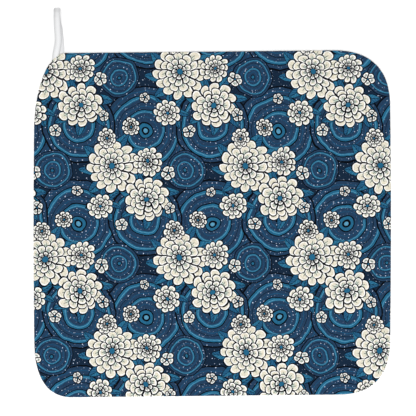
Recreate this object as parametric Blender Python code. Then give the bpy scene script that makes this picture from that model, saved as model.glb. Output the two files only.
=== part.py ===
"""A square printed hand towel with a hanging loop at one corner, lying flat with its printed face up.

Metres, +Z up. The origin is the centre of the towel's underside, +Y runs towards the edge that
carries the loop, and the loop stands at the left end of that edge.
"""

import math

import bmesh
import bpy
from mathutils import Vector

MM = 0.001

# The cut cloth
CLOTH_WIDTH = 300 * MM
CLOTH_LENGTH = 289 * MM
CLOTH_THICK = 3.0 * MM
RIM_ROUND = 1.3 * MM
RIM_STEPS = 4

# Each corner's side along X and along Y, how far its round reaches along X and along Y, and the
# power of that round: 2 is a plain ellipse, and more fills the corner out
CORNERS = (
    (1, 1, 50 * MM, 48 * MM, 2.5),  # far right
    (-1, 1, 26 * MM, 66 * MM, 2.1),  # far left, cut slanting behind the loop
    (-1, -1, 33 * MM, 48 * MM, 2.5),  # near left
    (1, -1, 44 * MM, 46 * MM, 2.5),  # near right
)
CORNER_STEPS = 16
SIDE_STEPS = 8

# How far the cut is off a true rectangle
SIDE_DRAW_IN = 1.4 * MM  # of each side edge, from its middle to where it would meet the corner
SKEW = 0.010  # rise of the two end edges along +X

# The hanging loop, a tape folded back on itself
TAPE_WIDTH = 5.2 * MM
TAPE_THICK = 1.0 * MM
TAPE_EDGE_ROUND = 0.3 * MM
LOOP_X = -129.5 * MM
LOOP_SEAM_Y = 141.0 * MM  # where the tape leaves the cloth
LOOP_REACH = 39.6 * MM
FOLD_RADIUS = 3.0 * MM  # of the tape's middle where it turns back
FOLD_STEPS = 10
FOLD_REACH = LOOP_REACH - FOLD_RADIUS - TAPE_THICK / 2
LEG_STEPS = 5  # between two rows of a leg's table

# Both ends of the tape are caught in the cloth's edge, side by side at mid-thickness
TAIL_DEPTH = 4.3 * MM
TAIL_SIDE = 3.0 * MM
TAIL_HEIGHT = CLOTH_THICK / 2
GAP = 0.3 * MM  # left between the tape and the cloth

# The way of each leg, in rows of its reach from the seam, its side along X and its middle's height
REACH, SIDE, HEIGHT = range(3)
REST = TAPE_THICK / 2
FOLD_SIDE = -0.5 * MM
FOLD_TOP = REST + 2 * FOLD_RADIUS
LOWER_LEG = (
    (-TAIL_DEPTH, TAIL_SIDE, TAIL_HEIGHT),
    (2.6 * MM, TAIL_SIDE, TAIL_HEIGHT),
    (6.5 * MM, 2.7 * MM, 0.8 * MM),
    (11.0 * MM, 2.5 * MM, REST),
    (16.0 * MM, 2.3 * MM, REST),
    (22.5 * MM, 1.5 * MM, REST),
    (29.0 * MM, -0.1 * MM, REST),
    (FOLD_REACH, FOLD_SIDE, REST),
)
UPPER_LEG = (
    (FOLD_REACH, FOLD_SIDE, FOLD_TOP),
    (30.0 * MM, -0.3 * MM, 6.4 * MM),
    (22.0 * MM, 0.3 * MM, 5.8 * MM),
    (13.0 * MM, 0.9 * MM, 4.6 * MM),
    (8.0 * MM, 0.0 * MM, 4.0 * MM),
    (4.0 * MM, -1.6 * MM, 3.6 * MM),
    (0.0 * MM, -2.9 * MM, TAIL_HEIGHT),
    (-TAIL_DEPTH, -TAIL_SIDE, TAIL_HEIGHT),
)

PRINT_COLOUR = (0.075, 0.135, 0.200, 1.0)
TAPE_COLOUR = (0.800, 0.800, 0.790, 1.0)


def clear_scene():
    for obj in list(bpy.data.objects):
        bpy.data.objects.remove(obj, do_unlink=True)


def material(name, colour, roughness):
    """A cloth finish: no metal, and no gloss to speak of."""
    made = bpy.data.materials.new(name)
    made.use_nodes = True
    shader = made.node_tree.nodes["Principled BSDF"]
    shader.inputs["Base Color"].default_value = colour
    shader.inputs["Roughness"].default_value = roughness
    shader.inputs["Metallic"].default_value = 0.0
    return made


def object_from(bm, name, finish):
    """Turns a bmesh into a smooth-shaded object that keeps its sharp edges."""
    bmesh.ops.recalc_face_normals(bm, faces=bm.faces)
    mesh = bpy.data.meshes.new(name)
    bm.to_mesh(mesh)
    bm.free()
    mesh.shade_smooth()
    mesh.set_sharp_from_angle(angle=math.radians(40))
    mesh.materials.append(finish)
    obj = bpy.data.objects.new(name, mesh)
    bpy.context.scene.collection.objects.link(obj)
    return obj


def corner_point(side_x, side_y, reach_x, reach_y, power, turn):
    """A point of a corner's round, which runs from its side edge at turn 0 to its end edge at 1.

    It lies on a superellipse: the cosine and sine of the angle, each to 2 over the power.
    """
    angle = turn * math.pi / 2
    x = CLOTH_WIDTH / 2 - reach_x + reach_x * math.cos(angle) ** (2 / power)
    y = CLOTH_LENGTH / 2 - reach_y + reach_y * math.sin(angle) ** (2 / power)
    return Vector((side_x * x, side_y * y))


def as_cut(point):
    """Moves a point of the true rectangle to where the cloth's own cut has it."""
    across = point.x / (CLOTH_WIDTH / 2)
    along = point.y / (CLOTH_LENGTH / 2)
    x = point.x - across * SIDE_DRAW_IN * along**2
    return Vector((x, point.y + SKEW * x))


def cloth_outline():
    """The towel's edge, anticlockwise from the right side's far end."""
    points = []
    for side_x, side_y, reach_x, reach_y, power in CORNERS:
        turns = [step / CORNER_STEPS for step in range(CORNER_STEPS + 1)]
        if side_x * side_y < 0:
            turns.reverse()
        arc = [corner_point(side_x, side_y, reach_x, reach_y, power, turn) for turn in turns]
        if points:
            points += side_points(points[-1], arc[0])
        points += arc
    points += side_points(points[-1], points[0])
    return [as_cut(point) for point in points]


def side_points(start, end):
    """The points between two corners, without the corners' own ends."""
    return [start.lerp(end, step / SIDE_STEPS) for step in range(1, SIDE_STEPS)]


def make_cloth(finish):
    """The outline raised to the cloth's thickness, with its rim rounded over on both faces."""
    bm = bmesh.new()
    floor = bm.faces.new([bm.verts.new((p.x, p.y, 0)) for p in cloth_outline()])
    raised = bmesh.ops.extrude_face_region(bm, geom=[floor])["geom"]
    top = [v for v in raised if isinstance(v, bmesh.types.BMVert)]
    bmesh.ops.translate(bm, verts=top, vec=(0, 0, CLOTH_THICK))
    rim = [e for e in bm.edges if e.verts[0].co.z == e.verts[1].co.z]
    bmesh.ops.bevel(bm, geom=rim, offset=RIM_ROUND, segments=RIM_STEPS, profile=0.5, affect="EDGES")
    return object_from(bm, "towel_cloth", finish)


def row_slope(table, index, column):
    """A column's slope over the reach at one row: none where the column turns, levels or ends.

    Elsewhere it is the harmonic mean of the slopes on either side, so the curve never overshoots.
    """
    if index in (0, len(table) - 1):
        return 0.0
    before, row, after = table[index - 1 : index + 2]
    near = (row[column] - before[column]) / (row[REACH] - before[REACH])
    far = (after[column] - row[column]) / (after[REACH] - row[REACH])
    return 2 * near * far / (near + far) if near * far > 0 else 0.0


def read_between(table, index, column, share):
    """A column's value part of the way from one row to the next, on a cubic with the rows' slopes."""
    start = table[index]
    end = table[index + 1]
    stretch = end[REACH] - start[REACH]
    leave = row_slope(table, index, column) * stretch
    arrive = row_slope(table, index + 1, column) * stretch
    rise = end[column] - start[column]
    square = (3 * rise - 2 * leave - arrive) * share**2
    cube = (leave + arrive - 2 * rise) * share**3
    return start[column] + leave * share + square + cube


def leg_way(table):
    """The middle of the tape along one leg, with LEG_STEPS steps from each row to the next."""
    points = []
    for index in range(len(table) - 1):
        start = table[index][REACH]
        stretch = table[index + 1][REACH] - start
        for step in range(LEG_STEPS):
            share = step / LEG_STEPS
            side = read_between(table, index, SIDE, share)
            height = read_between(table, index, HEIGHT, share)
            points.append(Vector((side, start + stretch * share, height)))
    last = table[-1]
    return points + [Vector((last[SIDE], last[REACH], last[HEIGHT]))]


def loop_way():
    """The middle of the tape: up the lower leg, round the fold, and back down the upper leg."""
    fold = []
    for step in range(1, FOLD_STEPS):
        angle = math.pi * step / FOLD_STEPS
        reach = FOLD_REACH + FOLD_RADIUS * math.sin(angle)
        height = REST + FOLD_RADIUS * (1 - math.cos(angle))
        fold.append(Vector((FOLD_SIDE, reach, height)))
    place = Vector((LOOP_X, LOOP_SEAM_Y, 0))
    return [place + point for point in leg_way(LOWER_LEG) + fold + leg_way(UPPER_LEG)]


def tape_section():
    """The tape's cross-section, a flat strip with its edges eased: across the tape, and through it."""
    half_width = TAPE_WIDTH / 2
    half_thick = TAPE_THICK / 2
    flat = half_width - TAPE_EDGE_ROUND
    upright = half_thick - TAPE_EDGE_ROUND
    quarter = [(flat, half_thick), (half_width, upright)]
    right = quarter + [(across, -through) for across, through in reversed(quarter)]
    return right + [(-across, -through) for across, through in right]


def make_loop(finish):
    """The tape's section carried along its way, with a closed cut end in each tail."""
    way = loop_way()
    bm = bmesh.new()
    rings = []
    for index, point in enumerate(way):
        along = (way[min(index + 1, len(way) - 1)] - way[max(index - 1, 0)]).normalized()
        across = Vector((1, 0, 0)) - along.x * along
        across.normalize()
        through = across.cross(along)
        rings.append(
            [bm.verts.new(point + across * u + through * w) for u, w in tape_section()]
        )
    for ring, following in zip(rings, rings[1:]):
        for index in range(len(ring)):
            after = (index + 1) % len(ring)
            bm.faces.new((ring[index], ring[after], following[after], following[index]))
    bm.faces.new(rings[0])
    bm.faces.new(rings[-1])
    return object_from(bm, "hanging_loop", finish)


def cut_tail_pocket(cloth, finish):
    """The pocket in the cloth's edge that holds both ends of the tape, GAP clear all round."""
    half_width = TAIL_SIDE + TAPE_WIDTH / 2 + GAP
    half_height = TAPE_THICK / 2 + GAP
    past_edge = 6 * MM
    near = LOOP_SEAM_Y - TAIL_DEPTH - GAP
    far = LOOP_SEAM_Y + past_edge
    bm = bmesh.new()
    bmesh.ops.create_cube(bm, size=1)
    bmesh.ops.scale(bm, verts=bm.verts, vec=(2 * half_width, far - near, 2 * half_height))
    bmesh.ops.translate(bm, verts=bm.verts, vec=(LOOP_X, (near + far) / 2, TAIL_HEIGHT))
    pocket = object_from(bm, "tail_pocket", finish)
    pocket.hide_render = True
    pocket.display_type = "WIRE"
    cut = cloth.modifiers.new("tail pocket", "BOOLEAN")
    cut.operation = "DIFFERENCE"
    cut.object = pocket


def main():
    clear_scene()
    printed = material("printed towelling", PRINT_COLOUR, roughness=0.9)
    tape = material("white tape", TAPE_COLOUR, roughness=0.6)
    cloth = make_cloth(printed)
    make_loop(tape)
    cut_tail_pocket(cloth, printed)


main()
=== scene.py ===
"""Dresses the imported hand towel: its printed pile cloth, its tape loop and a plain pale studio.

Laid out as an add-on and run as a script. Lengths are in metres, apart from the print's, which
its own tables give in millimetres.
"""

import math

import bpy
import numpy as np
from bpy.props import FloatProperty, FloatVectorProperty, PointerProperty
from bpy.types import Operator, Panel, PropertyGroup
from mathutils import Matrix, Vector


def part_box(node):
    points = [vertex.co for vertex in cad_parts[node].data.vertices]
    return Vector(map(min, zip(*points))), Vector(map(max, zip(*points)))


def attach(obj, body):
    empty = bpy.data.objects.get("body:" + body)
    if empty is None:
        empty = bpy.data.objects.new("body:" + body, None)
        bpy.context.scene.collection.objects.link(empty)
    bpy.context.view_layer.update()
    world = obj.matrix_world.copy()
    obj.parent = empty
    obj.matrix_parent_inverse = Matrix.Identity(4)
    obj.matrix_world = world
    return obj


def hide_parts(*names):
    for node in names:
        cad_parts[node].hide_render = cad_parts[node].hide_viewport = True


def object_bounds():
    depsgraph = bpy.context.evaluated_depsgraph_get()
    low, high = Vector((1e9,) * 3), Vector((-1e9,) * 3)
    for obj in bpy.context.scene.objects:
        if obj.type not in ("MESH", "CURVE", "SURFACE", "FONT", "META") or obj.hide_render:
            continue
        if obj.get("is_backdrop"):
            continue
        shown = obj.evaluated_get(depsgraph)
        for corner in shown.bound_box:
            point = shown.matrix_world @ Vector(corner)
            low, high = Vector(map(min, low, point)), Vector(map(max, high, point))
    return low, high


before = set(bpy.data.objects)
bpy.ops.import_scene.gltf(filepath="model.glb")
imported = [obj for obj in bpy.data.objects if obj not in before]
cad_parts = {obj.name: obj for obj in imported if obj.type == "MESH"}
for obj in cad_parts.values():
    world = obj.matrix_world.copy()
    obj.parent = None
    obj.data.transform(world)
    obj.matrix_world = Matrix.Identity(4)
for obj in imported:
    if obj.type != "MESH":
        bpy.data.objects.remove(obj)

bl_info = {
    "name": "Printed Hand Towel",
    "version": (1, 0, 0),
    "blender": (4, 5, 0),
    "location": "3D View > Sidebar > Hand Towel",
    "description": "Makes a printed hand towel with its tape loop, and the studio it lies in",
    "category": "Add Mesh",
}

MM = 0.001
CLOTH_LOW, CLOTH_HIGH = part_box("towel_cloth")

# The cloth's shape

# Each corner: its side along X and along Y, how far its round reaches along each, and the power of
# that round, where 2 is a plain ellipse and more fills the corner out
CORNERS = np.array(
    (
        (1, 1, 50 * MM, 48 * MM, 2.5),  # far right
        (-1, 1, 26 * MM, 66 * MM, 2.1),  # far left, cut slanting behind the loop
        (-1, -1, 33 * MM, 48 * MM, 2.5),  # near left
        (1, -1, 44 * MM, 46 * MM, 2.5),  # near right
    )
)
EDGE_STEPS = 120  # along each side, each corner and each end of the outline
SIDE_DRAW_IN = 1.4 * MM  # of each side edge, from its middle to where it would meet the corner
SKEW = 0.010  # rise of the two end edges along +X

FACE_CELLS = 150  # across each face
RIM_STEPS = 8  # from the edge of a face to the middle of the rim
SETTLE = 0.06  # share of the way in from the edge over which the swell sets in

# The bake map, in shares of its width
PRINTED_MAP = 0.815  # taken by the printed face with its half of the rim
BOTH_MAPS = 0.995  # by that and the back together
MAP_MARGIN = 0.002

# Waves that keep the pile from lying dead flat: wavelength, heading and start in turns
WAVES = np.array(
    (
        (118 * MM, 0.07, 0.31),
        (83 * MM, 0.29, 0.77),
        (61 * MM, 0.41, 0.12),
        (44 * MM, 0.18, 0.58),
        (31 * MM, 0.36, 0.93),
    )
)
# Waves round the cut edge: how many, and start in turns
EDGE_WAVES = np.array(((53, 0.2), (87, 0.7), (139, 0.4), (211, 0.9)))

# The loop's shape

LOOP_X = -129.5 * MM
LOOP_SEAM_Y = 141.0 * MM  # where the tape leaves the cloth
TAIL_DEPTH = 4.3 * MM  # of the tape's ends behind the seam
FOLD_SIDES = (-1.15 * MM, -0.4 * MM)  # along X, where the fold leaves each leg
FOLD_TURN = math.radians(142)  # from the lower leg to the rise of the upper one
FOLD_STEPS = 28
LEG_STEPS = 10  # between two rows of a leg's table
SECTION_STEPS = 32  # round the tape
SECTION_WIDE, SECTION_DEEP = 2.6, 2.2  # powers of its superellipse across and through the tape

REACH, SIDE, HEIGHT = range(3)  # columns of a leg's table

# The print

REPEAT_ACROSS = 112.0
REPEAT_ALONG = 78.0  # from one row to the next, which stands half a repeat on
BLEED = 0.14  # mm that an ink edge spreads over

# The unsteady hand: lump size of each noise, and how far it moves a line in mm
SLOW_LUMP, SLOW_SHIFT = 18 * MM, 5.0
QUICK_LUMP, QUICK_SHIFT = 5 * MM, 1.0
BRUSH_LUMP, BRUSH_SHIFT = 9 * MM, 0.02  # moves rings only, by a share of their radius

# The small dots: width of the cell that each has to itself, radius of the least, what the largest
# adds to it, and how far they cover the ground
DOT_CELL = 3.4
DOT_RADIUS, DOT_GROWTH = 0.12, 0.34
DOT_COVER = 0.9

# Rings of a roundel, from its middle out: share of the radius where each starts, and its dye
LARGE_RINGS = (
    (0.0, "pale_ring"),
    (0.05, "ink"),
    (0.09, "ring"),
    (0.16, "ink"),
    (0.185, "ground"),
    (0.27, "deep_ring"),
    (0.285, "ground"),
    (0.37, "ring"),
    (0.39, "pale_ring"),
    (0.40, "ring"),
    (0.44, "ink"),
    (0.462, "ground"),
    (0.53, "deep_ring"),
    (0.545, "ground"),
    (0.61, "ink"),
    (0.622, "ground"),
    (0.70, "ring"),
    (0.722, "pale_ring"),
    (0.734, "ring"),
    (0.775, "ink"),
    (0.80, "ground"),
    (0.875, "deep_ring"),
    (0.89, "ground"),
    (0.965, "ink"),
)
SMALL_RINGS = (
    (0.0, "ring"),
    (0.07, "ink"),
    (0.11, "ground"),
    (0.21, "deep_ring"),
    (0.235, "ground"),
    (0.34, "ring"),
    (0.37, "pale_ring"),
    (0.385, "ring"),
    (0.43, "ink"),
    (0.46, "ground"),
    (0.56, "deep_ring"),
    (0.585, "ground"),
    (0.66, "ink"),
    (0.675, "ground"),
    (0.76, "ring"),
    (0.785, "pale_ring"),
    (0.80, "ring"),
    (0.84, "ink"),
    (0.87, "ground"),
    (0.955, "ink"),
)

# The motifs from the lowest up: kind, centre across and along, radius, petals or leaves, and turn
MOTIFS = (
    ("large roundel", 0, 0, 37, 0, 0),
    ("small roundel", 56, 4, 31, 0, 0),
    ("small roundel", 34, -33, 17, 0, 0),
    ("leaves", -27, -29, 30, 9, 0.3),
    ("leaves", 58, 22, 27, 7, 0.9),
    ("leaves", 21, 17, 16, 7, 0.4),
    ("blossom", -28, -29, 24.5, 13, 0.2),
    ("blossom", 57, 21, 20.6, 11, 0.9),
    ("small blossom", 18, 15, 11.8, 9, 0.5),
    ("small blossom", 2, -26, 13.2, 11, 0.1),
    ("small blossom", 80, -6, 9.0, 9, 0.4),
    ("small blossom", -12, 3, 8.0, 9, 0.4),
    ("plum flower", 36, 0, 6.0, 5, 0.2),
    ("plum flower", 19, -35, 6.5, 5, 0.9),
    ("plum flower", -1, 27, 5.0, 5, 0.5),
    ("plum flower", 77, 13, 5.5, 5, 0.0),
)

# A blossom's tiers of petals from the outside in: share of its radius, and how many petals fewer
TIERS = {
    "blossom": ((1.0, 0), (0.76, 2), (0.52, 4), (0.3, 5)),
    "small blossom": ((1.0, 0), (0.68, 2), (0.38, 4)),
    "plum flower": ((1.0, 0),),
}

# A petal, in shares of its tip's distance from the blossom's middle unless said
TIP_LOT = 0.13  # how far one tip may fall short of another
SHOULDER, SHOULDER_POWER = 0.2, 2.6  # how far its edge falls at its sides, and how suddenly
EDGE_SLANT = 0.9  # how far off its slanting edge is, over how far off it is straight out
CURL = 0.25  # radians that it leans by, tiers leaning one way and the other in turn
TIER_TURN = 0.4  # radians from one tier to the next
SHADE_ENDS = 0.66, 0.84  # between them it goes from pale green to cream
SHADE_SIDE = 0.3  # how much sooner it does so towards its sides
HEART = 0.1  # share of the blossom's radius that its heart takes
HEART_LINE = 0.5  # mm

# The line round a petal, in mm: its width, what it gains with each mm of the blossom's radius, and
# how many times that it is at the middle and loses by the tip, or from petal to petal
OUTER_LINE, INNER_LINE, LINE_GROWTH = 0.55, 0.44, 0.012
LINE_BASE, LINE_TAPER = 1.45, 0.7
LINE_MOST, LINE_LOT = 1.15, 0.4
LINE_OUTSIDE = 0.6  # share of the line that is added outside the petal
# The light band reaches in by so many lines and mm, and fades over mm
BAND_LINES, BAND_WIDTH, BAND_FADE = 1.5, 0.45, 0.3
# Three veins: half their width in mm, and the share of a petal's turn from the middle to the others
VEIN_HALF, VEIN_SIDE = 0.2, 0.2
VEIN_START = 0.44, 0.5  # nothing at the first, full at the second
VEIN_END = 0.84, 0.8
VEIN_ARC = 0.5  # how much sooner the outer veins end

# A leaf, in shares of its tip's distance from the blossom's middle unless said
STALK = 0.2  # where it starts
LEAF_HALF, LEAF_POWER = 0.17, 0.6  # half its width, and how full it is
LEAF_BASE, LEAF_TAPER = 1.15, 0.3  # times that at its stalk, and what it loses by its tip
LEAF_CURL = 0.3  # radians that it leans by
RIB_HALF, RIM_LINE, LEAF_VEIN_HALF = 0.2, 0.5, 0.14  # mm
LEAF_VEIN_GAP = 1.3  # mm, half the way from one side vein to the next
LEAF_VEIN_SLANT = 0.9, 1.2  # along the leaf and across it
LEAF_VEIN_COVER = 0.7
LEAF_VEIN_ENDS = 0.6, 0.8  # mm in from the edge: nothing at the first, full at the second

# The finishes

# What round tufts, fibres and laid patches each add to the pile's height, and to its painted shade
TUFT_SHARE, FIBRE_SHARE, PATCH_SHARE = 0.7, 0.3, 0.35
TUFT_SHADE, FIBRE_SHADE, PATCH_SHADE = 0.4, 0.25, 0.12
# A tuft of middle height gets no painted shade
TUFT_MIDDLE = 0.6  # height of a tuft that leaves the shade as it is
TUFT_SCATTER = 0.8  # how far tufts stand off a square grid
PILE_FIBRE, PILE_PATCH = 0.35 * MM, 9 * MM  # their widths
PILE_ROUGH, TUFT_SMOOTH = 0.98, 0.12  # roughness between tufts, and what a full one takes off it
UPTAKE = 0.2  # how far tufts differ in the dye that they take
UPTAKE_HUE = 0.07  # and in its red and its blue

# The dye's lower edge on the rim: its level as a share of the thickness, how ragged it is, the
# width of one rag, and how far it fades
DYE_LEVEL = 0.3
DYE_RAGGED, DYE_LUMP, DYE_FADE = 0.8 * MM, 1.5 * MM, 0.3 * MM

CROSSING, CHECKER = 0.75, 0.25  # height of a crossing, and how far every second one stands up
# Painted shade of the weave: the colour is darker between the threads and lighter on a full
# crossing
GAP_SHADE, THREAD_SHADE = 0.86, 0.16  # between the threads, and what a full crossing adds
# Width of a fibre of the tape, and what it adds to the shade and to the height
TAPE_FIBRE, TAPE_FIBRE_SHADE, TAPE_FIBRE_HEIGHT = 0.3 * MM, 0.05, 0.2
TAPE_RELIEF = 0.08 * MM  # depth between threads
TAPE_ROUGH, THREAD_SMOOTH = 0.70, 0.12  # as for the pile
# The tape's painted shade at its edges: middle of its light strip, where the painted shade starts
# and ends in shares of half its width, and how deep it gets
LIGHT_STRIP = 0.4 * MM
PAINTED_EDGE_SHADE_ENDS = 0.25, 1.3
PAINTED_EDGE_SHADE = 0.3

# The studio

FLOOR_CORNERS = ((-1, -1), (1, -1), (1, 1), (-1, 1))
FLOOR_HALF = 3.0  # half the floor's width
FLOOR_LEVEL = -0.1 * MM
FLOOR_LUMP, FLOOR_TONE = 0.4, 0.01  # width of a patch of its tone, and how far tones differ
KEY_SIZE = 1.4  # of the soft light
KEY_PLACE = (0, -0.5, 1.45)
KEY_TILT = math.radians(19)
SENSOR_WIDTH = 36  # mm


# Settings


def length_setting(name, description, default, low, high):
    """A length in metres, shown in the file's own unit."""
    return FloatProperty(
        name=name,
        description=description,
        default=default,
        min=low,
        max=high,
        precision=4,
        unit="LENGTH",
    )


def dye_setting(name, description, colour):
    """A linear colour."""
    return FloatVectorProperty(
        name=name,
        description=description,
        default=colour,
        size=3,
        min=0,
        max=1,
        subtype="COLOR",
    )


class HandTowelCloth(PropertyGroup):
    """Sizes of the cut cloth."""

    width: length_setting("Width", "Cut width along X", CLOTH_HIGH.x - CLOTH_LOW.x, 0.1, 0.6)
    # The box is longer than the cut, whose end edges rise along X
    length: length_setting("Length", "Cut length along Y", 289 * MM, 0.1, 0.6)
    thickness: length_setting(
        "Thickness", "Through the pile", CLOTH_HIGH.z - CLOTH_LOW.z, 0.001, 0.006
    )
    rim: length_setting(
        "Rim", "How far in from the edge the rim is rounded", 1.3 * MM, 0.0005, 0.003
    )
    swell: length_setting("Swell", "Rise and dip of the laid pile", 0.12 * MM, 0, 0.0005)
    edge_swell: length_setting("Edge swell", "How uneven the cut edge is", 0.1 * MM, 0, 0.0005)
    tuft: length_setting("Tuft", "Width of one tuft of the pile", 0.9 * MM, 0.0002, 0.003)
    tuft_height: length_setting("Tuft height", "Depth between tufts", 0.35 * MM, 0, 0.001)


class HandTowelDyes(PropertyGroup):
    """Colours of the print."""

    ground: dye_setting("Ground", "Blue of the roundels", (0.0160, 0.0440, 0.0940))
    deep_ground: dye_setting("Deep ground", "Navy behind them", (0.0070, 0.0190, 0.0420))
    ring: dye_setting("Ring", "Teal of rings and leaves", (0.0170, 0.1200, 0.2230))
    deep_ring: dye_setting("Deep ring", "Shaded teal", (0.0100, 0.0740, 0.1620))
    pale_ring: dye_setting("Pale ring", "Light line on teal", (0.0900, 0.2900, 0.4400))
    petal: dye_setting("Petal", "Cream of the petals", (0.7150, 0.6700, 0.5450))
    petal_light: dye_setting("Petal light", "Band inside their line", (0.9300, 0.9250, 0.9000))
    petal_shade: dye_setting("Petal shade", "Pale green at their base", (0.5250, 0.6350, 0.5650))
    ink: dye_setting("Ink", "Drawn lines", (0.0015, 0.0025, 0.0050))
    dot: dye_setting("Dot", "Small dots on the ground", (0.6200, 0.7200, 0.9000))
    back: dye_setting("Back", "Undyed pile underneath", (0.8000, 0.7950, 0.7800))


class HandTowelLoop(PropertyGroup):
    """Sizes and colour of the hanging loop."""

    tape_width: length_setting("Tape width", "Across the tape", 5.2 * MM, 0.002, 0.012)
    tape_thickness: length_setting("Tape thickness", "Through the tape", 1.0 * MM, 0.0004, 0.003)
    reach: length_setting("Reach", "From the seam to the fold's far side", 39.9 * MM, 0.02, 0.09)
    fold_radius: length_setting("Fold radius", "Of the tape's middle", 1.2 * MM, 0.0006, 0.006)
    thread: length_setting("Thread", "Width of one woven thread", 0.45 * MM, 0.0001, 0.002)
    colour: dye_setting("Colour", "Of the tape", (0.8000, 0.8050, 0.8150))


class HandTowelStudio(PropertyGroup):
    """The camera, the floor and the lights."""

    picture: length_setting("Picture", "Width that the camera sees", 348.6 * MM, 0.05, 2)
    camera_x: length_setting("Camera X", "Middle of the picture", -3.55 * MM, -1, 1)
    camera_y: length_setting("Camera Y", "Middle of the picture", 13.19 * MM, -1, 1)
    focal: FloatProperty(
        name="Focal length",
        description="Of the camera's lens, in millimetres",
        default=85,
        min=10,
        max=300,
        subtype="DISTANCE_CAMERA",
    )
    floor: dye_setting("Floor", "Colour of the floor", (0.94, 0.94, 0.94))
    glow: FloatProperty(
        name="Glow", description="Light given off by the floor", default=0.08, min=0, max=2
    )
    fill: FloatProperty(
        name="Fill", description="Strength of the even light", default=0.6, min=0, max=5
    )
    key: FloatProperty(
        name="Key",
        description="Power of the soft light",
        default=19.5,
        min=0,
        max=1000,
        subtype="POWER",
        unit="POWER",
    )


# Nodes


class Field:
    """A number that changes over a surface, held as a node's output.

    Python's own signs on it add Math nodes to its tree.
    """

    def __init__(self, socket):
        self.socket = socket
        self.tree = socket.id_data

    def __add__(self, other):
        return maths(self.tree, "ADD", self, other)

    __radd__ = __add__

    def __sub__(self, other):
        return maths(self.tree, "SUBTRACT", self, other)

    def __rsub__(self, other):
        return maths(self.tree, "SUBTRACT", other, self)

    def __mul__(self, other):
        return maths(self.tree, "MULTIPLY", self, other)

    __rmul__ = __mul__

    def __truediv__(self, other):
        return maths(self.tree, "DIVIDE", self, other)

    def __rtruediv__(self, other):
        return maths(self.tree, "DIVIDE", other, self)

    def __pow__(self, other):
        return maths(self.tree, "POWER", self, other)

    def __mod__(self, other):
        return maths(self.tree, "FLOORED_MODULO", self, other)

    def __abs__(self):
        return maths(self.tree, "ABSOLUTE", self)

    def __floor__(self):
        return maths(self.tree, "FLOOR", self)

    def __round__(self):
        return maths(self.tree, "ROUND", self)

    def least(self, other):
        return maths(self.tree, "MINIMUM", self, other)

    def most(self, other):
        return maths(self.tree, "MAXIMUM", self, other)

    def wrapped(self, half):
        """Brought within half either side of 0, by whole steps of twice half."""
        return maths(self.tree, "WRAP", self, half, -1 * half)

    def clamped(self):
        """Kept from 0 to 1, by a node of its own: Cycles works a Math node's clamp out too late."""
        return Field(add_node(self.tree, "Clamp", {0: self}).outputs[0])

    def mask(self, spread=BLEED):
        """0 where it is below 0 and 1 above, changing over spread."""
        return maths(self.tree, "MULTIPLY_ADD", self, 1 / spread, 0.5).clamped()

    def ramp(self, low, high):
        """0 at low and 1 at high, straight between them."""
        scale = 1 / (high - low)
        return maths(self.tree, "MULTIPLY_ADD", self, scale, -low * scale).clamped()


def put(socket, value):
    """Sets an input to a plain value, or links it to another node's output."""
    if isinstance(value, Field):
        value = value.socket
    if isinstance(value, bpy.types.NodeSocket):
        socket.id_data.links.new(value, socket)
    else:
        socket.default_value = value


def add_node(tree, kind, inputs, **settings):
    """Adds a shader node with its settings, and its inputs by name or place."""
    node = tree.nodes.new("ShaderNode" + kind)
    for name, value in settings.items():
        setattr(node, name, value)
    for key, value in inputs.items():
        put(node.inputs[key], value)
    return node


def maths(tree, operation, *values):
    """A Math node's result."""
    node = add_node(tree, "Math", dict(enumerate(values)), operation=operation)
    return Field(node.outputs[0])


def blend(tree, share, under, over, mode="MIX"):
    """One colour over another, by a share from 0 to 1."""
    inputs = {0: share, 6: under, 7: over}
    node = add_node(tree, "Mix", inputs, data_type="RGBA", blend_type=mode)
    return node.outputs[2]


def noise(tree, point, size, detail=2.0):
    """Smooth noise about 0.5, with lumps of one size: a value and a colour."""
    inputs = {"Vector": point, "Scale": 1 / size, "Detail": detail}
    return add_node(tree, "TexNoise", inputs).outputs


def split(tree, vector, kind="SeparateXYZ"):
    """The three parts of a vector, or of a colour."""
    node = add_node(tree, kind, {0: vector})
    return [Field(output) for output in node.outputs]


class Group:
    """A node group in the making, with its inputs by name."""

    KINDS = {float: "NodeSocketFloat", tuple: "NodeSocketColor", list: "NodeSocketVector"}

    def __init__(self, name, inputs, outputs):
        self.tree = bpy.data.node_groups.new(name, "ShaderNodeTree")
        for label, default in inputs.items():
            kind = self.KINDS[type(default)]
            socket = self.tree.interface.new_socket(label, in_out="INPUT", socket_type=kind)
            socket.default_value = default
        for label, kind in outputs.items():
            self.tree.interface.new_socket(
                label, in_out="OUTPUT", socket_type=self.KINDS[kind]
            )
        self.start = self.tree.nodes.new("NodeGroupInput")
        self.end = self.tree.nodes.new("NodeGroupOutput")

    def __getitem__(self, label):
        socket = self.start.outputs[label]
        return Field(socket) if socket.type == "VALUE" else socket

    def give(self, label, value):
        put(self.end.inputs[label], value)


def place(tree, group, inputs):
    """Puts a group into a tree and gives its outputs by name."""
    node = add_node(tree, "Group", {}, node_tree=bpy.data.node_groups[group])
    for key, value in inputs.items():
        put(node.inputs[key], value)
    return {
        output.name: Field(output) if output.type == "VALUE" else output
        for output in node.outputs
    }


def toned(tree, colour, shade):
    """A plain colour times a shade."""
    shade_tint = add_node(tree, "CombineColor", {0: shade, 1: shade, 2: shade})
    return blend(tree, 1.0, (*colour, 1.0), shade_tint.outputs[0], "MULTIPLY")


# Groups for the print


def dye(dyes, name):
    """A dye with its alpha."""
    return (*getattr(dyes, name), 1.0)


def ring_dye(dyes, name):
    """A ring's dye, with in its alpha whether the small dots are printed on it."""
    return (*getattr(dyes, name), 1.0 if name == "ground" else 0.0)


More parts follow.
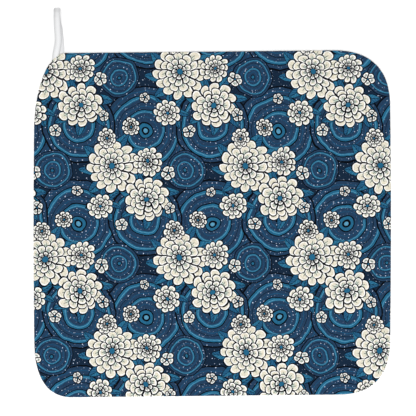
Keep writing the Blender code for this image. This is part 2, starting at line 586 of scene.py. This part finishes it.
def make_repeat_group():
    """How far a point lies from the nearest copy of a motif.

    Copies stand in rows, each row half a repeat on from the row before: the row is the whole
    number nearest to the point's distance along over the row height.
    """
    group = Group(
        "Half drop",
        {"Across": 0.0, "Along": 0.0, "Centre across": 0.0, "Centre along": 0.0},
        {"Across": float, "Along": float},
    )
    along = group["Along"] - group["Centre along"]
    across = group["Across"] - group["Centre across"]
    row = round(along / REPEAT_ALONG)
    group.give("Across", (across - row * (REPEAT_ACROSS / 2)).wrapped(REPEAT_ACROSS / 2))
    group.give("Along", along.wrapped(REPEAT_ALONG / 2))


def make_polar_group():
    """A point's distance from a motif's middle, and its direction in radians."""
    group = Group("Polar", {"Across": 0.0, "Along": 0.0}, {"Reach": float, "Direction": float})
    across = group["Across"]
    along = group["Along"]
    reach = maths(group.tree, "SQRT", across * across + along * along)
    group.give("Reach", reach)
    group.give("Direction", maths(group.tree, "ARCTAN2", along, across))


def polar_of(group):
    """The Reach and the Direction of a motif group's own point."""
    return place(group.tree, "Polar", {way: group[way] for way in ("Across", "Along")})


def make_roundel_group(name, rings, dyes):
    """Rings of flat dye: each point takes the ring that its share of the radius falls in.

    A slow noise wanders each ring's edge, and breaks the light lines into brush strokes.
    """
    group = Group(
        name,
        {"Across": 0.0, "Along": 0.0, "Radius": 30.0, "Brush": 0.0},
        {"Colour": tuple, "Ground": float, "Mask": float},
    )
    share = polar_of(group)["Reach"] / group["Radius"]
    node = add_node(group.tree, "ValToRGB", {0: share + group["Brush"]})
    ramp = node.color_ramp
    ramp.interpolation = "CONSTANT"
    while len(ramp.elements) < len(rings):
        ramp.elements.new(1.0)
    for element, (start, dye_name) in zip(ramp.elements, rings):
        element.position = start
        element.color = ring_dye(dyes, dye_name)
    group.give("Colour", node.outputs[0])
    group.give("Ground", Field(node.outputs[1]))
    group.give("Mask", ((1 - share) * group["Radius"]).mask())


def make_tier_group():
    """One ring of petals.

    Each petal takes an equal turn, curling with its distance out. Its tip is the outer radius,
    less a little that changes from petal to petal, and its edge falls from the tip by a power of
    the share to its side. Ink follows whichever of tip and sides is nearer, with a light band
    inside it, and three veins run along its outer half.
    """
    zeros = dict.fromkeys(("Reach", "Direction", "Turn", "Curl", "Seed"), 0.0)
    group = Group(
        "Petal tier",
        {**zeros, "Outer": 10.0, "Petals": 9.0, "Line": 0.4},
        {"Petal": float, "Line": float, "Band": float, "Light": float},
    )
    tree = group.tree
    reach = group["Reach"]
    petals = group["Petals"]
    turned = group["Direction"] + group["Turn"] + group["Curl"] * (reach / group["Outer"])
    count = turned * (petals / (2 * math.pi))
    number = math.floor(count)
    side = abs(count - number - 0.5)
    lot = add_node(
        tree, "TexWhiteNoise", {"W": number % petals + group["Seed"]}, noise_dimensions="1D"
    )
    tip = group["Outer"] * (1 - TIP_LOT * Field(lot.outputs[0]))
    edge = tip * (1 - SHOULDER * (2 * side) ** SHOULDER_POWER)
    depth = reach / tip
    arm = reach * (2 * math.pi) / petals
    inside = edge - reach
    to_line = (inside * EDGE_SLANT).least((0.5 - side) * arm)
    taper = LINE_BASE - LINE_TAPER * depth
    width = group["Line"] * taper * (LINE_MOST - LINE_LOT * Field(lot.outputs[0]))
    stripe = side.least(abs(side - VEIN_SIDE)) * arm
    start = (VEIN_HALF - stripe).mask() * depth.ramp(*VEIN_START)
    vein = start * (depth + VEIN_ARC * side).ramp(*VEIN_END)
    group.give("Petal", (inside + group["Line"] * LINE_OUTSIDE).mask())
    group.give("Line", (width - to_line).mask().most(vein))
    group.give("Band", (width * BAND_LINES + BAND_WIDTH - to_line).mask(BAND_FADE))
    group.give("Light", depth + SHADE_SIDE * side)


def make_blossom_group(name, tiers, dyes):
    """Tiers of petals, each over the last, about a round heart.

    A petal goes from pale green at its base to cream, with a nearly white band inside its line.
    """
    group = Group(
        name,
        {"Across": 0.0, "Along": 0.0, "Radius": 20.0, "Petals": 11.0, "Turn": 0.0},
        {"Colour": tuple, "Mask": float},
    )
    tree = group.tree
    radius = group["Radius"]
    polar = polar_of(group)
    colour = dye(dyes, "ink")
    mask = None
    for step, (share, fewer) in enumerate(tiers):
        tier = place(
            tree,
            "Petal tier",
            {
                **polar,
                "Outer": radius * share,
                "Petals": group["Petals"] - fewer,
                "Turn": group["Turn"] + TIER_TURN * step,
                "Curl": CURL * (-1) ** step,
                "Seed": radius + step,
                "Line": radius * LINE_GROWTH + (OUTER_LINE if step == 0 else INNER_LINE),
            },
        )
        base = tier["Light"].ramp(*SHADE_ENDS)
        petal = blend(tree, base, dye(dyes, "petal_shade"), dye(dyes, "petal"))
        petal = blend(tree, tier["Band"], petal, dye(dyes, "petal_light"))
        petal = blend(tree, tier["Line"], petal, dye(dyes, "ink"))
        colour = blend(tree, tier["Petal"], colour, petal)
        mask = mask.most(tier["Petal"]) if mask else tier["Petal"]
    heart = radius * HEART - polar["Reach"]
    colour = blend(tree, (heart + HEART_LINE).mask(), colour, dye(dyes, "ink"))
    colour = blend(tree, heart.mask(), colour, dye(dyes, "ring"))
    group.give("Colour", colour)
    group.give("Mask", mask)


def make_leaves_group(dyes):
    """Pointed leaves that stand out round a blossom.

    A leaf's half width is a power of 4 s (1 - s), where s is the share of the way from its stalk to
    its tip. One half is teal and the other shaded, with a midrib and slanting side veins in ink
    and light teal.
    """
    group = Group(
        "Leaves",
        {"Across": 0.0, "Along": 0.0, "Radius": 20.0, "Petals": 9.0, "Turn": 0.0},
        {"Colour": tuple, "Mask": float},
    )
    tree = group.tree
    radius = group["Radius"]
    polar = polar_of(group)
    reach = polar["Reach"]
    turned = polar["Direction"] + group["Turn"] + LEAF_CURL * (reach / radius)
    count = turned * (group["Petals"] / (2 * math.pi))
    lateral = (count - math.floor(count) - 0.5) * reach * (2 * math.pi) / group["Petals"]
    share = ((reach / radius - STALK) / (1 - STALK)).most(0).least(1)
    bow = (4 * share * (1 - share)) ** LEAF_POWER
    half = radius * LEAF_HALF * bow * (LEAF_BASE - LEAF_TAPER * share)
    inside = half - abs(lateral)
    colour = blend(tree, lateral.mask(), dye(dyes, "deep_ring"), dye(dyes, "ring"))
    rib = abs(lateral)
    slant_along, slant_across = LEAF_VEIN_SLANT
    vein = abs((reach * slant_along - rib * slant_across).wrapped(LEAF_VEIN_GAP))
    side_vein = (LEAF_VEIN_HALF - vein).mask() * inside.ramp(*LEAF_VEIN_ENDS) * LEAF_VEIN_COVER
    colour = blend(tree, side_vein, colour, dye(dyes, "pale_ring"))
    line = (RIM_LINE - inside).mask().most((RIB_HALF - rib).mask())
    colour = blend(tree, line, colour, dye(dyes, "ink"))
    group.give("Colour", colour)
    group.give("Mask", inside.mask())


def make_print_group(dyes):
    """The whole print: every motif of the table over the last, on a dotted ground.

    The point is first moved a little by two noises, so that lines look drawn by hand.
    """
    make_repeat_group()
    make_polar_group()
    make_tier_group()
    make_leaves_group(dyes)
    make_roundel_group("Large roundel", LARGE_RINGS, dyes)
    make_roundel_group("Small roundel", SMALL_RINGS, dyes)
    for kind, tiers in TIERS.items():
        make_blossom_group(kind.capitalize(), tiers, dyes)

    group = Group("Blossom print", {"Point": [0.0, 0.0, 0.0]}, {"Colour": tuple})
    tree = group.tree
    point = group["Point"]
    slow = split(tree, noise(tree, point, SLOW_LUMP, 1.0)[1], "SeparateColor")
    quick = split(tree, noise(tree, point, QUICK_LUMP, 1.0)[1], "SeparateColor")
    brush = (Field(noise(tree, point, BRUSH_LUMP, 1.0)[0]) - 0.5) * BRUSH_SHIFT
    across, along = (
        whole * (1 / MM) + SLOW_SHIFT * (far - 0.5) + QUICK_SHIFT * (near - 0.5)
        for whole, far, near in zip(split(tree, point), slow[:2], quick[:2])
    )
    colour = dye(dyes, "deep_ground")
    ground = 1.0
    for kind, centre_across, centre_along, radius, petals, turn in MOTIFS:
        there = place(
            tree,
            "Half drop",
            {
                "Across": across,
                "Along": along,
                "Centre across": centre_across,
                "Centre along": centre_along,
            },
        )
        inputs = {**there, "Radius": radius}
        if "roundel" in kind:
            inputs["Brush"] = brush
        else:
            inputs["Petals"] = petals
            inputs["Turn"] = turn
        motif = place(tree, kind.capitalize(), inputs)
        mask = motif["Mask"]
        colour = blend(tree, mask, colour, motif["Colour"])
        ground = ground * (1 - mask)
        if "Ground" in motif:
            ground = ground + motif["Ground"] * mask
    moved = add_node(tree, "CombineXYZ", {0: across, 1: along})
    inputs = {"Vector": moved.outputs[0], "Scale": 1 / DOT_CELL}
    dots = add_node(tree, "TexVoronoi", inputs, voronoi_dimensions="2D")
    size = split(tree, dots.outputs["Color"], "SeparateColor")[0]
    away = Field(dots.outputs["Distance"]) * DOT_CELL
    dot = (DOT_RADIUS + DOT_GROWTH * size * size - away).mask()
    colour = blend(tree, dot * ground * DOT_COVER, colour, dye(dyes, "dot"))
    group.give("Colour", colour)


# Groups for the finishes


def make_pile_group():
    """Short tufts: the height falls with the distance from each tuft's middle, as fibres do.

    A slower noise lays them over in patches. The colour darkens where the pile is low, a painted
    shade that follows the height, and each tuft takes its own share of each dye.
    """
    group = Group(
        "Pile",
        {"Point": [0.0, 0.0, 0.0], "Tuft": MM},
        {"Height": float, "Tint": tuple},
    )
    tree = group.tree
    point = group["Point"]
    inputs = {"Vector": point, "Scale": 1 / group["Tuft"], "Randomness": TUFT_SCATTER}
    cells = add_node(tree, "TexVoronoi", inputs)
    round_tuft = 1 - Field(cells.outputs["Distance"])
    fibre = Field(noise(tree, point, PILE_FIBRE)[0])
    patch = Field(noise(tree, point, PILE_PATCH)[0])
    height = round_tuft * TUFT_SHARE + fibre * FIBRE_SHARE + patch * PATCH_SHARE
    group.give("Height", height)
    # Painted shade: darker where the tufts, fibres and patches are low
    shade = 1 + TUFT_SHADE * (round_tuft - TUFT_MIDDLE) + FIBRE_SHADE * (fibre - 0.5)
    shade = shade + PATCH_SHADE * (patch - 0.5)
    lots = split(tree, cells.outputs["Color"], "SeparateColor")
    shade = shade + UPTAKE * (lots[0] - 0.5)
    shade_tint = [shade + UPTAKE_HUE * (lots[1] - 0.5), shade, shade + UPTAKE_HUE * (lots[2] - 0.5)]
    group.give("Tint", add_node(tree, "CombineColor", dict(enumerate(shade_tint))).outputs[0])


def make_weave_group():
    """Plain weave: the height is the product of one wave across the threads and one along them,
    turned about at each crossing, so that every second crossing stands up.
    """
    group = Group(
        "Weave",
        {"Along": 0.0, "Across": 0.0, "Thread": MM},
        {"Height": float, "Shade": float},
    )
    tree = group.tree
    turns = [group[way] * (math.pi / group["Thread"]) for way in ("Along", "Across")]
    warp = abs(maths(tree, "SINE", turns[0]))
    weft = abs(maths(tree, "SINE", turns[1]))
    checker = maths(tree, "SINE", turns[0] * 0.5) * maths(tree, "SINE", turns[1] * 0.5)
    height = (warp * weft) ** 0.5 * (CROSSING + CHECKER * checker)
    group.give("Height", height)
    # Painted shade: darker between the threads, following the height
    group.give("Shade", GAP_SHADE + THREAD_SHADE * height)


# Materials


def new_material(name):
    """A material with its node tree, its shader, and a point on the piece in metres."""
    made = bpy.data.materials.new(name)
    made.use_nodes = True
    tree = made.node_tree
    shader = tree.nodes["Principled BSDF"]
    point = add_node(tree, "TexCoord", {}).outputs["Object"]
    return made, tree, shader, point


def bump(tree, height, distance, strength):
    """A normal from a height, so many metres deep."""
    inputs = {"Height": height, "Distance": distance, "Strength": strength}
    return add_node(tree, "Bump", inputs).outputs[0]


def towelling(cloth, dyes):
    """Printed pile: the print dyes the face and the rim, and the back stays undyed."""
    make_print_group(dyes)
    made, tree, shader, point = new_material("printed towelling")
    pile = place(tree, "Pile", {"Point": point, "Tuft": cloth.tuft})
    colour = place(tree, "Blossom print", {"Point": point})["Colour"]
    height = split(tree, point)[2]
    ragged = (Field(noise(tree, point, DYE_LUMP)[0]) - 0.5) * DYE_RAGGED
    printed = (height + ragged - DYE_LEVEL * cloth.thickness).mask(DYE_FADE)
    colour = blend(tree, printed, dye(dyes, "back"), colour)
    # The pile's painted shade between tufts, with each tuft's own dye uptake, darkens the print
    colour = blend(tree, 1.0, colour, pile["Tint"], "MULTIPLY")
    put(shader.inputs["Base Color"], colour)
    put(shader.inputs["Roughness"], PILE_ROUGH - TUFT_SMOOTH * pile["Height"])
    put(shader.inputs["Normal"], bump(tree, pile["Height"], cloth.tuft_height, 0.85))
    shader.inputs["Specular IOR Level"].default_value = 0.04
    shader.inputs["Sheen Weight"].default_value = 0.02
    shader.inputs["Sheen Roughness"].default_value = 0.5
    return made


def woven_tape(loop):
    """White tape: threads run along and across it, and a fibre noise softens them.

    Painted shade darkens it between the threads and towards its edges, more on the left, as if it
    rolled away from the light.
    """
    made, tree, shader, point = new_material("white tape")
    way = split(tree, add_node(tree, "UVMap", {}, uv_map="tape_way").outputs[0])
    weave = place(tree, "Weave", {"Along": way[0], "Across": way[1], "Thread": loop.thread})
    fibre = Field(noise(tree, point, TAPE_FIBRE)[0])
    painted_edge_shade = (abs(way[1] - LIGHT_STRIP) / (loop.tape_width / 2)).ramp(*PAINTED_EDGE_SHADE_ENDS)
    shade = weave["Shade"] + TAPE_FIBRE_SHADE * (fibre - 0.5)
    # Painted shade towards the tape's edges, deeper on the left
    shade = shade * (1 - PAINTED_EDGE_SHADE * painted_edge_shade)
    put(shader.inputs["Base Color"], toned(tree, loop.colour, shade))
    put(shader.inputs["Roughness"], TAPE_ROUGH - THREAD_SMOOTH * weave["Height"])
    relief = weave["Height"] + TAPE_FIBRE_HEIGHT * fibre
    put(shader.inputs["Normal"], bump(tree, relief, TAPE_RELIEF, 0.7))
    shader.inputs["Sheen Weight"].default_value = 0.1
    return made


def floor_finish(studio):
    """The studio's pale floor, a light table: a slow noise keeps it from being one flat tone."""
    made, tree, shader, point = new_material("studio floor")
    tone = Field(noise(tree, point, FLOOR_LUMP)[0])
    shade = 1 - FLOOR_TONE / 2 + FLOOR_TONE * tone
    colour = toned(tree, studio.floor, shade)
    put(shader.inputs["Base Color"], colour)
    shader.inputs["Roughness"].default_value = 0.9
    shader.inputs["Specular IOR Level"].default_value = 0.1
    put(shader.inputs["Emission Color"], colour)
    shader.inputs["Emission Strength"].default_value = studio.glow
    return made


# Meshes


def new_piece(name, points, faces, finish, maps):
    """An object at the origin from points and faces, with UV maps given for each face's corners."""
    mesh = bpy.data.meshes.new(name)
    mesh.from_pydata(points, [], faces)
    for label, values in maps.items():
        mesh.uv_layers.new(name=label).uv.foreach_set("vector", values.astype("f").ravel())
    mesh.materials.append(finish)
    mesh.shade_smooth()
    mesh.validate()
    piece = bpy.data.objects.new(name, mesh)
    bpy.context.scene.collection.objects.link(piece)
    return piece


def outline(cloth):
    """The towel's edge as points in order of their direction from the middle.

    A quarter is a straight side, a superellipse and a straight end. The superellipse is its reach
    times the cosine and the sine of the angle, each to 2 over its power. The side then draws in by
    the square of its share along Y, and the whole rises with X.
    """
    side_x, side_y, reach_x, reach_y, power = CORNERS.T[:, :, None]
    step = np.linspace(0, 1, EDGE_STEPS)[None, :]
    flat_x = cloth.width / 2 - reach_x
    flat_y = cloth.length / 2 - reach_y
    angle = step * math.pi / 2
    arc_x = flat_x + reach_x * np.cos(angle) ** (2 / power)
    arc_y = flat_y + reach_y * np.sin(angle) ** (2 / power)
    x = side_x * np.hstack((cloth.width / 2 + 0 * (step + flat_x), arc_x, flat_x * (1 - step)))
    y = side_y * np.hstack((flat_y * step, arc_y, cloth.length / 2 + 0 * (step + flat_y)))
    x = (x - x / (cloth.width / 2) * SIDE_DRAW_IN * (y / (cloth.length / 2)) ** 2).ravel()
    y = y.ravel() + SKEW * x
    direction, order = np.unique(np.arctan2(y, x), return_index=True)
    return direction, x[order], y[order]


def edge_swell(direction, depth):
    """Sum of waves round the edge, each with its own count and start."""
    count, start = EDGE_WAVES.T[:, :, None]
    waves = np.sin(count * direction.ravel() + 2 * math.pi * start).mean(axis=0)
    return depth * waves.reshape(direction.shape)


def pile_swell(x, y, depth):
    """Sum of plane waves over the face, each with its own length, heading and start."""
    length, heading, start = WAVES.T[:, :, None]
    turn = 2 * math.pi * heading
    path = x.ravel() * np.cos(turn) + y.ravel() * np.sin(turn)
    waves = np.sin(2 * math.pi * (path / length + start)).mean(axis=0)
    return depth * 2 * waves.reshape(x.shape)


def cloth_mesh(cloth):
    """Points, faces and bake map of the towel.

    A face is a square grid drawn to the outline: each point keeps its direction, and goes out by
    the larger of its two shares across the square. The rim is half a turn of an ellipse from the
    upper face to the lower, rim deep and half the thickness high.
    """
    half = FACE_CELLS // 2
    count = 2 * half + 1
    share = np.linspace(-1, 1, count)
    across, along = np.meshgrid(share, share)
    heading = np.arctan2(along * cloth.length, across * cloth.width)
    directions, edge_x, edge_y = outline(cloth)

    def edge(direction):
        x = np.interp(direction, directions, edge_x, period=2 * math.pi)
        y = np.interp(direction, directions, edge_y, period=2 * math.pi)
        return np.hypot(x, y) + edge_swell(direction, cloth.edge_swell)

    out = np.maximum(abs(across), abs(along))
    radius = out * (edge(heading) - cloth.rim)
    x = radius * np.cos(heading)
    y = radius * np.sin(heading)
    settle = np.clip((1 - out) / SETTLE, 0, 1)
    top = cloth.thickness - settle * (cloth.swell + pile_swell(x, y, cloth.swell))
    upper = np.stack((x, y, top), axis=2).reshape(-1, 3)
    lower = np.stack((x, y, 0 * x), axis=2).reshape(-1, 3)

    square = np.arange(count**2).reshape(count, count)
    rim_loop = np.concatenate(
        (square[0, :-1], square[:-1, -1], square[-1, :0:-1], square[:0:-1, 0])
    )
    turn = np.linspace(0, math.pi, 2 * RIM_STEPS + 1)[1:-1, None]
    direction = heading.ravel()[rim_loop][None, :]
    rim_out = edge(direction) - cloth.rim + cloth.rim * np.sin(turn)
    level = cloth.thickness / 2 * (1 + np.cos(turn)) + 0 * direction
    rim = np.stack(
        (rim_out * np.cos(direction), rim_out * np.sin(direction), level), axis=2
    ).reshape(-1, 3)
    points = np.vstack((upper, lower, rim))

    around = rim_loop.size
    rings = np.arange(rim.shape[0]).reshape(-1, around) + 2 * count**2
    rings = np.vstack((rim_loop, rings, rim_loop + count**2))
    after = np.roll(rings, -1, axis=1)
    band = np.stack((rings[:-1], rings[1:], after[1:], after[:-1]), axis=2)
    face = np.stack(
        (square[:-1, :-1], square[:-1, 1:], square[1:, 1:], square[1:, :-1]), axis=2
    ).reshape(-1, 4)
    back = face[:, ::-1] + count**2
    above, below = (part.reshape(-1, 4) for part in (band[:RIM_STEPS], band[RIM_STEPS:]))
    faces = np.vstack((face, above, back, below))
    printed = face.shape[0] + RIM_STEPS * around

    # The bake map lays the rim out flat round each face, and gives the printed one most of the map
    flat = points[:, :2].copy()
    wall = math.pi / 4 * (cloth.rim + cloth.thickness / 2)
    unroll = wall * (1 - abs(2 * np.linspace(0, 1, 2 * RIM_STEPS + 1)[1:-1, None] - 1))
    laid = edge(direction) - cloth.rim + unroll
    flat[2 * count**2 :] = np.stack(
        (laid * np.cos(direction), laid * np.sin(direction)), axis=2
    ).reshape(-1, 2)
    span = cloth.width + 2 * wall
    back_size = BOTH_MAPS - PRINTED_MAP
    back_place = (PRINTED_MAP + 2 * MAP_MARGIN, MAP_MARGIN)
    front_map = PRINTED_MAP * (flat / span + 0.5) + MAP_MARGIN
    back_map = back_size * (flat * (-1, 1) / span + 0.5) + back_place
    bake = np.concatenate((front_map[faces[:printed]], back_map[faces[printed:]]))
    return points, faces, bake


def row_slopes(table):
    """Each column's slope over the reach at each row: none where the column turns or levels.

    Elsewhere it is the harmonic mean of the slopes on either side, and an end row keeps its own.
    """
    steps = np.diff(table, axis=0)
    slopes = steps / steps[:, [REACH]]
    near, far = slopes[:-1], slopes[1:]
    same = near * far > 0
    mean = np.where(same, 2 * near * far / np.where(same, near + far, 1), 0)
    return np.vstack((slopes[:1], mean, slopes[-1:]))


def leg_way(table):
    """The middle of the tape along one leg: a cubic from row to row, with the rows' slopes."""
    stretch = np.diff(table[:, REACH])[:, None, None]
    share = (np.arange(LEG_STEPS) / LEG_STEPS)[None, :, None]
    slopes = row_slopes(table)
    leave = slopes[:-1, None] * stretch
    arrive = slopes[1:, None] * stretch
    start = table[:-1, None]
    rise = table[1:, None] - start
    square = (3 * rise - 2 * leave - arrive) * share**2
    cube = (leave + arrive - 2 * rise) * share**3
    way = start + leave * share + square + cube
    way[:, :, REACH] = (start + rise * share)[:, :, REACH]
    return np.vstack((way.reshape(-1, 3), table[-1:]))


def loop_way(loop):
    """The middle of the tape: up the lower leg, round the pressed fold, and back down the upper.

    Each leg has rows of reach from the seam, side along X and height. The fold is an arc.
    """
    rest = loop.tape_thickness / 2
    fold_reach = loop.reach - loop.fold_radius - rest
    angle = np.linspace(0, FOLD_TURN, FOLD_STEPS + 1)
    fold = np.stack(
        (
            fold_reach + loop.fold_radius * np.sin(angle),
            np.interp(angle, (0, FOLD_TURN), FOLD_SIDES),
            rest + loop.fold_radius * (1 - np.cos(angle)),
        ),
        axis=1,
    )
    lower = np.array(
        (
            (-TAIL_DEPTH, 2.3 * MM, 0.95 * MM),
            (2.6 * MM, 2.3 * MM, 0.95 * MM),
            (6.5 * MM, 2.5 * MM, 0.7 * MM),
            (11.0 * MM, 2.3 * MM, rest),
            (16.0 * MM, 1.8 * MM, rest),
            (22.5 * MM, 1.15 * MM, rest),
            (29.0 * MM, -0.35 * MM, rest),
            fold[0],
        )
    )
    upper = np.array(
        (
            fold[-1],
            (35.2 * MM, -0.28 * MM, 5.3 * MM),
            (30.0 * MM, -0.15 * MM, 6.2 * MM),
            (22.0 * MM, 0.15 * MM, 5.8 * MM),
            (13.0 * MM, 0.5 * MM, 4.6 * MM),
            (8.0 * MM, -0.1 * MM, 4.0 * MM),
            (4.0 * MM, -1.0 * MM, 3.4 * MM),
            (0.0 * MM, -1.9 * MM, 2.35 * MM),
            (-TAIL_DEPTH, -2.2 * MM, 2.05 * MM),
        )
    )
    way = np.vstack((leg_way(lower), fold[1:-1], leg_way(upper)))
    return way[:, (SIDE, REACH, HEIGHT)] + (LOOP_X, LOOP_SEAM_Y, 0)


def unit(vectors):
    """Each vector over its own length."""
    return vectors / np.linalg.norm(vectors, axis=-1, keepdims=True)


def loop_mesh(loop):
    """Points, faces and weave map of the tape: its section carried along its way.

    The section is a superellipse, so that the tape is full in the middle and thin at its woven
    edges. Across the tape is X with its part along the way taken out.
    """
    way = loop_way(loop)
    ahead = unit(np.gradient(way, axis=0))
    across = unit(np.array((1.0, 0, 0)) - ahead[:, :1] * ahead)
    through = np.cross(across, ahead)
    angle = np.linspace(0, 2 * math.pi, SECTION_STEPS, endpoint=False)
    cosine, sine = np.cos(angle), np.sin(angle)
    wide = loop.tape_width / 2 * np.sign(cosine) * abs(cosine) ** (2 / SECTION_WIDE)
    deep = loop.tape_thickness / 2 * np.sign(sine) * abs(sine) ** (2 / SECTION_DEEP)
    aside = across[:, None] * wide[None, :, None]
    points = way[:, None] + aside + through[:, None] * deep[None, :, None]
    rows = np.arange(len(way) * SECTION_STEPS).reshape(len(way), SECTION_STEPS)
    after = np.roll(rows, -1, axis=1)
    sides = np.stack((rows[:-1], after[:-1], after[1:], rows[1:]), axis=2).reshape(-1, 4)
    faces = [*sides.tolist(), rows[0, ::-1].tolist(), rows[-1].tolist()]
    gone = np.append(0, np.cumsum(np.linalg.norm(np.diff(way, axis=0), axis=1)))
    weave = np.stack(np.broadcast_arrays(gone[:, None], wide[None, :]), axis=2).reshape(-1, 2)
    return points.reshape(-1, 3), faces, weave[np.concatenate([np.array(f) for f in faces])]


# Operators


class HANDTOWEL_OT_loop(Operator):
    """Make the hanging loop of white tape"""

    bl_idname = "handtowel.loop"
    bl_label = "Hanging Loop"

    def execute(self, context):
        loop = context.scene.hand_towel_loop
        points, faces, weave = loop_mesh(loop)
        make_weave_group()
        piece = new_piece("tape_loop", points, faces, woven_tape(loop), {"tape_way": weave})
        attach(piece, "root")
        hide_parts("hanging_loop")
        return {"FINISHED"}


class HANDTOWEL_OT_cloth(Operator):
    """Make the printed towel cloth that carries the hanging loop"""

    bl_idname = "handtowel.cloth"
    bl_label = "Towel Cloth"

    def execute(self, context):
        cloth = context.scene.hand_towel_cloth
        points, faces, bake = cloth_mesh(cloth)
        make_pile_group()
        finish = towelling(cloth, context.scene.hand_towel_dyes)
        piece = new_piece("towelling_sheet", points, faces, finish, {"OFBake": bake})
        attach(piece, "root")
        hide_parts("towel_cloth")
        _, x, y = outline(cloth)
        cloth.width
        cloth.length
        abs(np.sum(x * np.roll(y, -1) - np.roll(x, -1) * y)) / 2
        bpy.data.objects["tape_loop"]
        return {"FINISHED"}


class HANDTOWEL_OT_studio(Operator):
    """Make the floor, the soft lights and the camera straight above"""

    bl_idname = "handtowel.studio"
    bl_label = "Studio"

    def execute(self, context):
        scene = context.scene
        studio = scene.hand_towel_studio
        corners = [(x * FLOOR_HALF, y * FLOOR_HALF, FLOOR_LEVEL) for x, y in FLOOR_CORNERS]
        mesh = bpy.data.meshes.new("studio_floor")
        mesh.from_pydata(corners, [], [(0, 1, 2, 3)])
        mesh.materials.append(floor_finish(studio))
        floor = bpy.data.objects.new("studio_floor", mesh)
        scene.collection.objects.link(floor)
        floor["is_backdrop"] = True

        data = bpy.data.lights.new("soft_key", "AREA")
        data.energy = studio.key
        data.size = KEY_SIZE
        key = bpy.data.objects.new("soft_key", data)
        key.location = KEY_PLACE
        key.rotation_euler = (KEY_TILT, 0, 0)
        scene.collection.objects.link(key)

        world = bpy.data.worlds.new("studio light")
        world.use_nodes = True
        background = world.node_tree.nodes["Background"]
        background.inputs["Color"].default_value = (1, 1, 1, 1)
        background.inputs["Strength"].default_value = studio.fill
        scene.world = world

        lens = bpy.data.cameras.new("camera")
        lens.lens = studio.focal
        lens.sensor_width = SENSOR_WIDTH
        camera = bpy.data.objects.new("camera", lens)
        height = CLOTH_HIGH.z + studio.picture * studio.focal / lens.sensor_width
        camera.location = (studio.camera_x, studio.camera_y, height)
        scene.collection.objects.link(camera)
        scene.camera = camera
        scene.view_settings.view_transform = "Standard"
        return {"FINISHED"}


class HANDTOWEL_PT_sidebar(Panel):
    """Sizes, colours and makers of the hand towel"""

    bl_label = "Hand Towel"
    bl_space_type = "VIEW_3D"
    bl_region_type = "UI"
    bl_category = "Hand Towel"

    def draw(self, context):
        layout = self.layout
        for operator in OPERATORS:
            layout.operator(operator.bl_idname)
        for attribute, settings in SETTINGS.items():
            box = layout.box()
            for name in settings.__annotations__:
                box.prop(getattr(context.scene, attribute), name)


SETTINGS = {
    "hand_towel_cloth": HandTowelCloth,
    "hand_towel_dyes": HandTowelDyes,
    "hand_towel_loop": HandTowelLoop,
    "hand_towel_studio": HandTowelStudio,
}
OPERATORS = (HANDTOWEL_OT_loop, HANDTOWEL_OT_cloth, HANDTOWEL_OT_studio)
CLASSES = (*SETTINGS.values(), *OPERATORS, HANDTOWEL_PT_sidebar)


def register():
    """Adds the settings, the operators and the panel to Blender."""
    for made in CLASSES:
        bpy.utils.register_class(made)
    for attribute, settings in SETTINGS.items():
        setattr(bpy.types.Scene, attribute, PointerProperty(type=settings))


def unregister():
    """Takes them out again."""
    for attribute in SETTINGS:
        delattr(bpy.types.Scene, attribute)
    for made in reversed(CLASSES):
        bpy.utils.unregister_class(made)


def corner_lists(bounds):
    """A box's two corners as plain lists."""
    return [list(corner) for corner in bounds]


def main():
    """Makes everything in order."""
    cad_box = corner_lists(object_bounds())
    register()
    bpy.ops.handtowel.loop()
    bpy.ops.handtowel.cloth()
    bpy.ops.handtowel.studio()
    sizes = {"cad": cad_box, "visual": corner_lists(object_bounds())}


if __name__ == "__main__":
    main()
